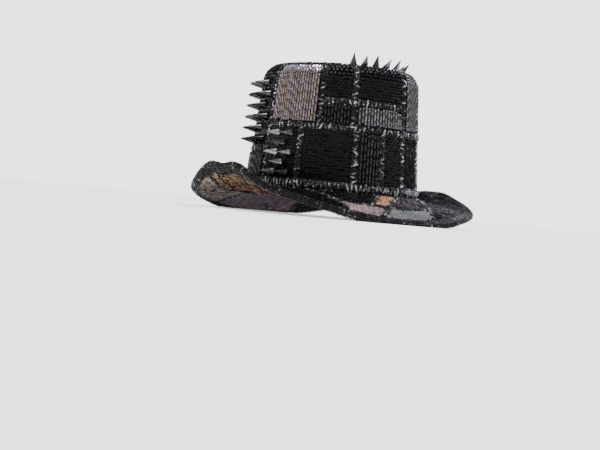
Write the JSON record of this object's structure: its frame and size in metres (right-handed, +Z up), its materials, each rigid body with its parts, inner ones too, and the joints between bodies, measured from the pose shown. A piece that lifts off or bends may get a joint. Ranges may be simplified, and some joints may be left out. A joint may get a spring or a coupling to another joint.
{
  "type": "sequin top hat",
  "caption": "Stiff oval hat with a flat-topped crown and a rolled brim, covered in sequined and beaded patches joined by raised beaded braid, some set with spikes.",
  "frame": {"origin": "centre of the bounding box's base, on the surface that the hat rests on", "axes": "+Z up through the crown, -Y towards the front of the hat, -X towards the wearer's right"},
  "size_m": [0.273, 0.2976, 0.1714],
  "materials": {
    "black_bugle": "black bugle beads in rows, glossy",
    "black_sequin": "black sequins, glossy",
    "braid": "dark glass seed beads on black braid, grey glints",
    "champagne_sequin": "champagne-silver sequins, metallic",
    "charcoal_sequin": "charcoal sequins, glossy",
    "copper_sequin": "copper sequins, metallic",
    "felt": "matte black wool felt",
    "gold_sequin": "bronze-gold sequins, metallic",
    "grey_bugle": "grey bugle beads, satin",
    "pearl_sequin": "silver-mauve sequins, pearly",
    "silver_bugle": "silver-lined bugle beads, shiny",
    "silver_sequin": "silver sequins, mirror-like",
    "teal_sequin": "teal sequins with olive and violet lights, metallic",
    "violet_sequin": "violet-blue sequins, metallic"
  },
  "bodies": {
    "root": {"brim": "felt", "brim_black_back": "black_sequin", "brim_black_front": "black_sequin", "brim_black_right": "black_sequin", "brim_braid": "braid", "brim_charcoal_front": "charcoal_sequin", "brim_charcoal_left": "charcoal_sequin", "brim_charcoal_right": "charcoal_sequin", "brim_copper_front": "copper_sequin", "brim_gold_left": "gold_sequin", "brim_gunmetal_left": "charcoal_sequin", "brim_pearl_front": "pearl_sequin", "brim_silver_back": "silver_sequin", "brim_teal_front": "teal_sequin", "crown": "felt", "crown_braid": "braid", "edge_binding": "braid", "hem_braid": "braid", "patch_black_back": "black_sequin", "patch_black_back_left": "black_sequin", "patch_black_back_right": "black_sequin", "patch_black_centre": "black_sequin", "patch_black_front": "black_sequin", "patch_black_left": "black_sequin", "patch_black_narrow": "black_sequin", "patch_black_strip": "black_bugle", "patch_black_top": "black_sequin", "patch_bugle_right": "black_bugle", "patch_charcoal_back": "charcoal_sequin", "patch_charcoal_left": "charcoal_sequin", "patch_grey_back": "grey_bugle", "patch_grey_left": "grey_bugle", "patch_grey_strip": "grey_bugle", "patch_rows_front": "black_bugle", "patch_silver_back_left": "silver_bugle", "patch_silver_left": "silver_sequin", "patch_silver_tall": "silver_bugle", "patch_spiked_front": "black_sequin", "patch_spiked_right": "black_sequin", "tip_braid": "braid", "tip_patch_black": "black_sequin", "tip_patch_charcoal": "charcoal_sequin", "tip_patch_silver": "silver_bugle", "tip_patch_spiked": "black_sequin", "under_black_back": "black_sequin", "under_black_front": "black_sequin", "under_braid": "braid", "under_champagne": "champagne_sequin", "under_copper": "copper_sequin", "under_gold": "gold_sequin", "under_silver": "silver_sequin", "under_teal": "teal_sequin", "under_violet": "violet_sequin"}
  },
  "joints": []
}
